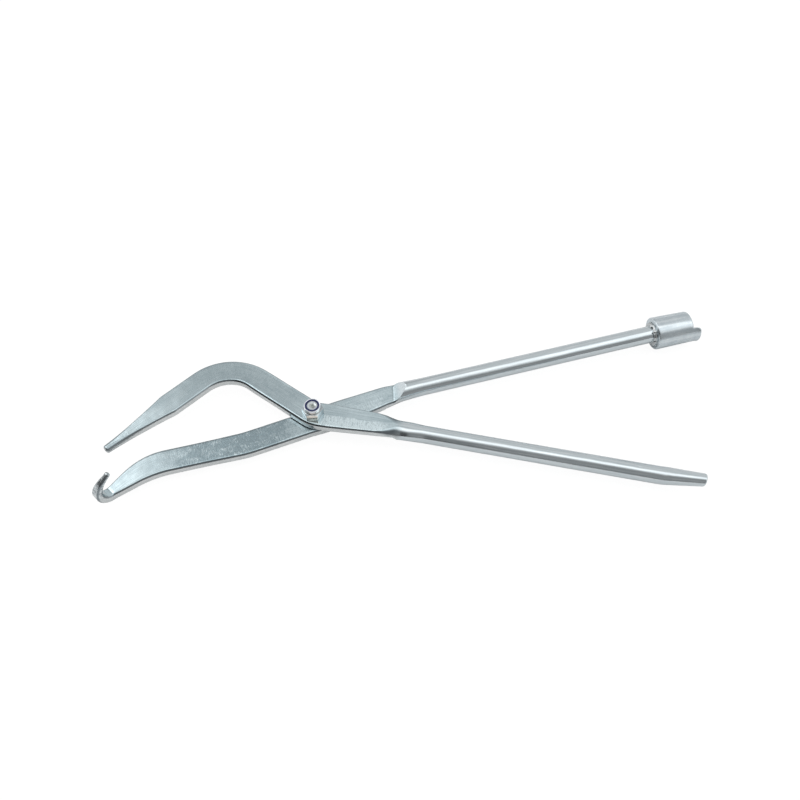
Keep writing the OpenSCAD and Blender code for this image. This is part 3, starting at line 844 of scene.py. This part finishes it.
class Nodes:
    """Short way to add nodes to a material's or the world's node tree."""

    def __init__(self, tree):
        self.tree = tree
        tree.nodes.clear()

    def add(self, kind, **settings):
        made = self.tree.nodes.new(kind)
        for key, value in settings.items():
            setattr(made, key, value)
        return made

    def link(self, source, target):
        self.tree.links.new(source, target)

    def feed(self, socket, value):
        if isinstance(value, bpy.types.NodeSocket):
            self.link(value, socket)
        elif socket.type == "RGBA":
            socket.default_value = rgb(*value)
        else:
            socket.default_value = value

    def math(self, operation, a, b=0.0, clamped=False):
        made = self.add("ShaderNodeMath", operation=operation, use_clamp=clamped)
        self.feed(made.inputs[0], a)
        self.feed(made.inputs[1], b)
        return made.outputs[0]

    def product(self, first, *others):
        for other in others:
            first = self.math("MULTIPLY", first, other)
        return first

    def total(self, first, *others):
        for other in others:
            first = self.math("ADD", first, other)
        return first

    def less(self, a, b):
        return self.math("SUBTRACT", a, b)

    def split(self, vector):
        made = self.add("ShaderNodeSeparateXYZ")
        self.link(vector, made.inputs[0])
        return made.outputs

    def vector_math(self, operation, a, b):
        made = self.add("ShaderNodeVectorMath", operation=operation)
        self.link(a, made.inputs[0])
        self.feed(made.inputs[1], b)
        return made

    def span(self, value, low, high, to_low=0.0, to_high=1.0, soft=True):
        """Takes a value from one range to another, softly at both ends or evenly."""
        made = self.add("ShaderNodeMapRange", interpolation_type="SMOOTHSTEP" if soft else "LINEAR")
        for socket, item in zip(made.inputs[:5], (value, low, high, to_low, to_high)):
            self.feed(socket, item)
        return made.outputs[0]

    def between(self, value, places, after=0.0):
        """Comes up from 0 to 1 between the first two places, and goes down to after between the last two."""
        return self.product(self.span(value, *places[:2]), self.span(value, *places[2:], 1.0, after))

    def noise(self, vector, scale, detail, rough, stretch=(1, 1, 1), shift=(0, 0, 0)):
        place = self.add("ShaderNodeMapping")
        place.inputs["Scale"].default_value = stretch
        place.inputs["Location"].default_value = shift
        self.link(vector, place.inputs["Vector"])
        made = self.add("ShaderNodeTexNoise")
        made.inputs["Scale"].default_value = scale
        made.inputs["Detail"].default_value = detail
        made.inputs["Roughness"].default_value = rough
        self.link(place.outputs[0], made.inputs["Vector"])
        return made.outputs["Fac"]

    def blend(self, share, a, b):
        made = self.add("ShaderNodeMix", data_type="RGBA")
        self.feed(made.inputs["Factor"], share)
        colours = [socket for socket in made.inputs if socket.type == "RGBA"]
        self.feed(colours[0], a)
        self.feed(colours[1], b)
        return [socket for socket in made.outputs if socket.type == "RGBA"][0]


def shader(name):
    mat = bpy.data.materials.new(name)
    mat.use_nodes = True
    nodes = Nodes(mat.node_tree)
    bsdf = nodes.add("ShaderNodeBsdfPrincipled")
    out = nodes.add("ShaderNodeOutputMaterial")
    nodes.link(bsdf.outputs[0], out.inputs["Surface"])
    return mat, nodes, bsdf


def bump(nodes, bsdf, height, distance):
    """Bumps a surface by a height of 0 to 1, which stands for a distance in metres."""
    made = nodes.add("ShaderNodeBump")
    made.inputs["Strength"].default_value = 1.0
    made.inputs["Distance"].default_value = distance
    nodes.link(height, made.inputs["Height"])
    nodes.link(made.outputs[0], bsdf.inputs["Normal"])


def lever_zinc(name, flat_end, seed, jaw_marks, handle_marks_and_light):
    """Zinc plate over forged steel: fine streaks on the flats, with hammer marks across them in places, and
    drawn smooth along the round bar. Painted light lies on it too: shade on the flats' rounded edges, a paler
    reflection of the floor on the walls, and a lighter outer half of the handle flats beside the pivot."""
    mat, nodes, bsdf = shader(name)
    flow = nodes.add("ShaderNodeAttribute", attribute_name="flow").outputs["Vector"]
    edge = nodes.add("ShaderNodeAttribute", attribute_name="edge").outputs["Fac"]
    s, across, _ = nodes.split(flow)
    shift = (seed, seed * 0.7, 0)
    cloud = nodes.noise(flow, 0.06, 2, 0.5, (0.8, 1.5, 1), shift)
    streak = nodes.noise(flow, 1.3, 3, 0.6, (0.05, 1, 1), shift)
    cross = nodes.noise(flow, 1.5, 3, 0.65, (1.0, 0.3, 0.5), shift)
    blots = nodes.noise(flow, 0.16, 2, 0.6, (1, 1.5, 1), shift)
    grain = nodes.noise(flow, 3.0, 2, 0.5, shift=shift)
    normal = nodes.split(nodes.add("ShaderNodeNewGeometry").outputs["Normal"])
    on_top = nodes.span(normal[2], 0.5, 0.85)

    on_flat = nodes.span(s, flat_end, flat_end + 6, 1.0, 0.0)
    on_jaw = nodes.product(nodes.between(s, JAW_MARKS, 0.15), on_top, jaw_marks)
    on_finger = nodes.product(nodes.span(s, *FINGER_MARKS, 1.0, 0.0), jaw_marks)
    # Beyond the pivot the marks lie on the half of the flat that is nearer to its outer edge, which is also
    # painted lighter
    outward = nodes.total(across, nodes.product(nodes.less(blots, 0.5), 2.0))
    outer_half = nodes.span(outward, -0.6, 0.8, 0.0, handle_marks_and_light)
    on_handle_marks_and_light = nodes.product(nodes.between(s, HANDLE_MARKS_AND_LIGHT), outer_half, on_top)
    places = nodes.total(on_jaw, on_handle_marks_and_light, nodes.product(on_finger, 0.9))
    marks = nodes.product(nodes.less(cross, 0.5), nodes.total(places, 0.08))

    tone = nodes.total(nodes.product(streak, 0.9), nodes.product(cloud, 0.8))
    # Painted light: the outer half of the handle flats beside the pivot is lightened
    tone = nodes.total(nodes.less(tone, 0.35), nodes.product(marks, 3.0), nodes.product(on_handle_marks_and_light, 0.55))
    tone = nodes.less(tone, nodes.product(on_jaw, nodes.span(blots, 0.35, 0.65, 0.82, 0.3)))
    tone = nodes.math("ADD", tone, 0.0, clamped=True)
    face_colour = nodes.blend(tone, *FACE_COLOURS)
    # Painted reflection of the pale floor on the faces that don't point up
    wall_reflection_colour = nodes.blend(tone, *WALL_REFLECTION_COLOURS)
    finger_colour = nodes.blend(nodes.span(cross, 0.38, 0.58), *FINGER_COLOURS)
    rod_colour = nodes.blend(nodes.span(streak, 0.35, 0.65), *ROD_COLOURS)
    flat_colour = nodes.blend(on_finger, nodes.blend(on_top, wall_reflection_colour, face_colour), finger_colour)
    colour = nodes.blend(on_flat, rod_colour, flat_colour)
    # Painted shade: the rounded edges of the flats are darkened
    edge_shade = nodes.product(edge, nodes.product(on_flat, 0.85))
    nodes.link(nodes.blend(edge_shade, colour, EDGE_SHADE_COLOUR), bsdf.inputs["Base Color"])

    flat_rough = nodes.span(nodes.total(streak, marks), 0.2, 0.8, 0.24, 0.17)
    rod_rough = nodes.span(streak, 0.35, 0.7, 0.16, 0.10)
    on_rod = nodes.less(1.0, on_flat)
    rough = nodes.total(nodes.product(flat_rough, on_flat), nodes.product(rod_rough, on_rod))
    nodes.link(rough, bsdf.inputs["Roughness"])
    bsdf.inputs["Metallic"].default_value = 1.0
    bump(nodes, bsdf, nodes.total(marks, nodes.product(grain, 0.06), nodes.product(streak, 0.12)), 0.00005)
    return mat


def small_zinc(name, colours, rough, stretch, depth, *others):
    """Bright zinc plate for the small pieces, with fine marks that run the way they were turned or formed.
    Parts of a piece may have other colours, which come in from low to high by a distance: out from the pivot
    axis, up, down or to the front. The nut's front flat, collar and lip get painted reflection, light and
    highlight this way, and the bolt's end a rim of painted shade."""
    mat, nodes, bsdf = shader(name)
    place = nodes.add("ShaderNodeTexCoord").outputs["Object"]
    cloud = nodes.noise(place, 320, 3, 0.55)
    marks = nodes.noise(place, 1.0, 3, 0.6, stretch)
    tone = nodes.span(nodes.total(cloud, marks), 0.7, 1.3)
    colour = nodes.blend(tone, *colours)
    for low, high, tint, way in others:
        x, y, z = nodes.split(place)
        if way == "out":
            distance = nodes.math("SQRT", nodes.total(nodes.product(x, x), nodes.product(y, y)))
        elif way == "up":
            distance = z
        else:
            distance = nodes.product(z if way == "down" else y, -1.0)
        darker = tuple(0.9 * c for c in tint)
        where = nodes.span(distance, low * MM, high * MM)
        colour = nodes.blend(where, colour, nodes.blend(tone, darker, tint))
    nodes.link(colour, bsdf.inputs["Base Color"])
    nodes.link(nodes.span(cloud, 0.3, 0.7, rough * 1.25, rough * 0.8), bsdf.inputs["Roughness"])
    bsdf.inputs["Metallic"].default_value = 1.0
    bump(nodes, bsdf, nodes.total(marks, nodes.product(cloud, 0.5)), depth)
    return mat


def turned_zinc(name):
    """Zinc plate over a turned barrel, with fine rings round its own axis and drawn streaks along it."""
    mat, nodes, bsdf = shader(name)
    axis = (*heading(ROD_END_H - SOCKET_TILT), 0)
    place = nodes.add("ShaderNodeTexCoord").outputs["Object"]
    distance = nodes.vector_math("DOT_PRODUCT", place, axis).outputs["Value"]
    along = nodes.add("ShaderNodeCombineXYZ")
    nodes.link(distance, along.inputs["X"])
    rings = nodes.noise(along.outputs[0], 2600, 2, 0.6)
    bands = nodes.noise(along.outputs[0], 420, 2, 0.5)
    cloud = nodes.noise(place, 260, 4, 0.6)
    # Most of the way along the axis is taken out, so that the noise is drawn out along it
    back = nodes.add("ShaderNodeVectorMath", operation="SCALE")
    back.inputs[0].default_value = axis
    nodes.link(nodes.product(distance, -0.96), back.inputs["Scale"])
    beside = nodes.vector_math("ADD", place, back.outputs[0])
    drawn = nodes.noise(beside.outputs[0], 800, 3, 0.6)
    tone = nodes.total(nodes.product(bands, 0.3), nodes.product(cloud, 0.5), drawn)
    tone = nodes.span(tone, 0.7, 1.15)
    nodes.link(nodes.blend(tone, *SOCKET_COLOURS), bsdf.inputs["Base Color"])
    nodes.link(nodes.span(drawn, 0.3, 0.7, 0.31, 0.22), bsdf.inputs["Roughness"])
    bsdf.inputs["Metallic"].default_value = 1.0
    bump(nodes, bsdf, nodes.total(nodes.product(rings, 0.6), nodes.product(drawn, 1.5)), 0.00001)
    return mat


def nylon(name):
    mat, nodes, bsdf = shader(name)
    place = nodes.add("ShaderNodeTexCoord").outputs["Object"]
    cloud = nodes.noise(place, 900, 3, 0.5)
    nodes.link(nodes.blend(cloud, *NYLON_COLOURS), bsdf.inputs["Base Color"])
    nodes.link(nodes.span(cloud, 0.3, 0.7, 0.36, 0.5), bsdf.inputs["Roughness"])
    bump(nodes, bsdf, cloud, 0.00002)
    return mat


def dress(obj, mat, body, node):
    obj.data.materials.clear()
    obj.data.materials.append(mat)
    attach(obj, body)
    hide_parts(node)


hook_mat = lever_zinc("hook_zinc", HOOK_FLAT_LEN, seed=0, jaw_marks=1.0, handle_marks_and_light=0.3)
pin_mat = lever_zinc("pin_zinc", PIN_FLAT_LEN, seed=37, jaw_marks=0.15, handle_marks_and_light=1.0)
dress(lever("dressed_hook_lever", hook_skin(), *HOOK_CUT), hook_mat,
      "hook_side", "hook_lever")
dress(lever("dressed_pin_lever", pin_skin(), *PIN_CUT), pin_mat,
      "pin_side", "pin_lever")
bolt_mat = small_zinc("warm_zinc", BOLT_COLOURS, 0.18, (900, 900, 900), 0.00001,
                      (1.5, 1.8, BOLT_END_COLOUR, "out"),
                      # Painted shade: a dark rim round the bolt's end
                      (2.6, 2.8, BOLT_RIM_SHADE_COLOUR, "out"),
                      (-16.5, -16, BOLT_COLOURS[1], "down"))
dress(pivot_bolt(), bolt_mat, "hook_side", "pivot_bolt")
nut_mat = small_zinc("nut_zinc", NUT_COLOURS, 0.13, (200, 200, 900), 0.000008,
                     # Painted reflection on the front flat, painted light on the collar and a painted
                     # highlight on the lip
                     (4.72, 4.85, NUT_FRONT_REFLECTION_COLOUR, "front"),
                     (NUT_Z + 4.4, NUT_Z + 4.7, NUT_COLLAR_LIGHT_COLOUR, "up"),
                     (NUT_Z + NUT_H - 0.9, NUT_Z + NUT_H - 0.4, NUT_LIP_HIGHLIGHT_COLOUR, "up"))
dress(lock_nut(), nut_mat, "hook_side", "lock_nut")
dress(nylon_insert(), nylon("blue_nylon"), "hook_side", "nylon_insert")
dress(removal_socket(), turned_zinc("socket_zinc"), "hook_side", "removal_socket")
weld_mat = small_zinc("weld_zinc", WELD_COLOURS, 0.24, (900, 900, 900), 0.00006)
dress(socket_weld(), weld_mat, "hook_side", "socket_weld")

# Studio: a pale floor, and a soft sky that is brightest a little in front of overhead. The sky's level goes
# by a direction's x, and by its angle from overhead to the front in degrees.

SKY_STOPS = [
    (-180, 0.75), (-92, 0.75), (-80, 0.72), (-60, 0.70), (-44, 0.77), (-30, 0.76), (-22, 0.70), (-17, 0.80),
    (-11, 1.25), (-4, 1.50), (11, 1.50), (19, 1.10), (27, 0.62), (36, 0.38), (46, 0.28), (55, 0.34),
    (64, 0.37), (75, 0.32), (84, 0.28), (92, 0.26), (180, 0.26),
]
SKY_TOP = 1.5
# Bend of the overhead light's front edge
BEND_MIDDLE = 0.07
BEND_RATE = 125.0
BEND_BACK = 8.0
BEND_MOST = 10.0
BEND_PLACES = (4, 22, 50, 85)
# Dimmer left half, panel on the far left, walls to both sides and dark corner
DIM_SHARE = 0.42
PANEL_WAY = (-0.52, 0.35, 0.78)
PANEL_EDGE = 20.2
PANEL_CORE = 10
PANEL_LEVEL = 1.2
WALL_LEVEL = 0.66
CORNER_SHARE = 0.9

# Floor: its place, and its grey and its glow for the camera and for mirrored rays
FLOOR_MIDDLE = (45, 10)
FLOOR_DROP = 0.05
FLOOR_SIZE = 2500
FLOOR_GREY = (0.14, 0.14, 0.14)
FLOOR_GLOW = 0.93
MIRRORED_GREY = (0.88, 0.88, 0.88)
MIRRORED_GLOW = 0.06

CAMERA_LENS = 42.75
CAMERA_PLACE = (45.76, -277.55, 429.21)
CAMERA_ELEVATION = 55.5


def sky_ramp(nodes, angle):
    """The sky's level by its angle, as a share of its brightest level."""
    ramp = nodes.add("ShaderNodeValToRGB")
    ramp.color_ramp.interpolation = "LINEAR"
    marks = ramp.color_ramp.elements
    while len(marks) > 1:
        marks.remove(marks[0])
    for i, (turn, level) in enumerate(SKY_STOPS):
        place = (turn + 180) / 360
        mark = marks[0] if i == 0 else marks.new(place)
        mark.position = place
        grey = level / SKY_TOP
        mark.color = rgb(grey, grey, grey)
    nodes.link(nodes.span(angle, -180, 180, soft=False), ramp.inputs["Fac"])
    return ramp.outputs["Color"]


def sky():
    world = bpy.data.worlds.new("studio")
    bpy.context.scene.world = world
    world.use_nodes = True
    nodes = Nodes(world.node_tree)
    way = nodes.add("ShaderNodeTexCoord").outputs["Generated"]
    x, y, z = nodes.split(way)
    front = nodes.product(y, -1.0)
    angle = nodes.product(nodes.math("ARCTAN2", front, z), 180 / math.pi)
    # The overhead light's front edge is curved: it reaches further forward to both sides
    middle = nodes.math("ABSOLUTE", nodes.less(x, BEND_MIDDLE))
    bend = nodes.less(nodes.product(nodes.math("POWER", middle, 2.0), BEND_RATE), BEND_BACK)
    bend = nodes.math("MINIMUM", bend, BEND_MOST)
    angle = nodes.less(angle, nodes.product(bend, nodes.between(angle, BEND_PLACES)))
    level = sky_ramp(nodes, angle)
    # The sky is dimmer to the left of the middle, and a soft panel lights the jaws' ends from the far left
    dim = nodes.product(nodes.span(x, -0.17, 0.0, DIM_SHARE, 0.0), nodes.span(angle, -22, -12, 1.0, 0.0))
    level = nodes.product(level, nodes.less(1.0, dim))
    panel = nodes.vector_math("DOT_PRODUCT", way, Vector(PANEL_WAY).normalized()).outputs["Value"]
    edge = math.cos(math.radians(PANEL_EDGE))
    core = math.cos(math.radians(PANEL_CORE))
    level = nodes.total(level, nodes.span(panel, edge, core, 0.0, PANEL_LEVEL))
    # Plain walls to both sides, and a dark corner to the front left
    aside = nodes.math("MAXIMUM", nodes.span(x, 0.62, 0.9), nodes.span(x, -0.65, -0.45, 1.0, 0.0))
    level = nodes.total(nodes.product(level, nodes.less(1.0, aside)), nodes.product(aside, WALL_LEVEL))
    corner = nodes.product(nodes.span(x, -0.38, -0.16, CORNER_SHARE, 0.0), nodes.span(angle, 0, 16))
    level = nodes.product(level, nodes.less(1.0, corner))
    # Behind the object the camera sees plain white, and the metal shows the light itself
    seen = nodes.add("ShaderNodeLightPath").outputs["Is Camera Ray"]
    level = nodes.total(nodes.product(level, nodes.less(1.0, seen)), nodes.product(seen, 1.0 / SKY_TOP))
    background = nodes.add("ShaderNodeBackground")
    background.inputs["Strength"].default_value = SKY_TOP
    nodes.link(level, background.inputs["Color"])
    out = nodes.add("ShaderNodeOutputWorld")
    nodes.link(background.outputs[0], out.inputs["Surface"])


def floor():
    bm = bmesh.new()
    place = Matrix.Translation((*FLOOR_MIDDLE, CAD_BOX[0][2] / MM - FLOOR_DROP))
    bmesh.ops.create_grid(bm, x_segments=4, y_segments=4, size=FLOOR_SIZE, matrix=place)
    obj = new_object("floor", bm)
    mat, nodes, bsdf = shader("pale_floor")
    bsdf.inputs["Roughness"].default_value = 0.9
    bsdf.inputs["Specular IOR Level"].default_value = 0.0
    path = nodes.add("ShaderNodeLightPath").outputs
    mirrored = nodes.math("ADD", path["Is Glossy Ray"], path["Is Transmission Ray"], clamped=True)
    nodes.link(nodes.blend(mirrored, FLOOR_GREY, MIRRORED_GREY), bsdf.inputs["Base Color"])
    direct_glow = nodes.product(path["Is Camera Ray"], FLOOR_GLOW)
    glow = nodes.total(direct_glow, nodes.product(mirrored, MIRRORED_GLOW))
    bsdf.inputs["Emission Color"].default_value = rgb(1, 1, 1)
    nodes.link(glow, bsdf.inputs["Emission Strength"])
    obj.data.materials.append(mat)


def camera():
    data = bpy.data.cameras.new("camera")
    data.lens = CAMERA_LENS
    data.sensor_width = 36
    data.sensor_fit = "HORIZONTAL"
    data.clip_start = 0.01
    data.clip_end = 20
    obj = bpy.data.objects.new("camera", data)
    bpy.context.scene.collection.objects.link(obj)
    obj.location = Vector(CAMERA_PLACE) * MM
    obj.rotation_euler = (math.radians(90 - CAMERA_ELEVATION), 0, 0)
    bpy.context.scene.camera = obj


sky()
floor()
camera()
bpy.context.scene.view_settings.view_transform = "Standard"
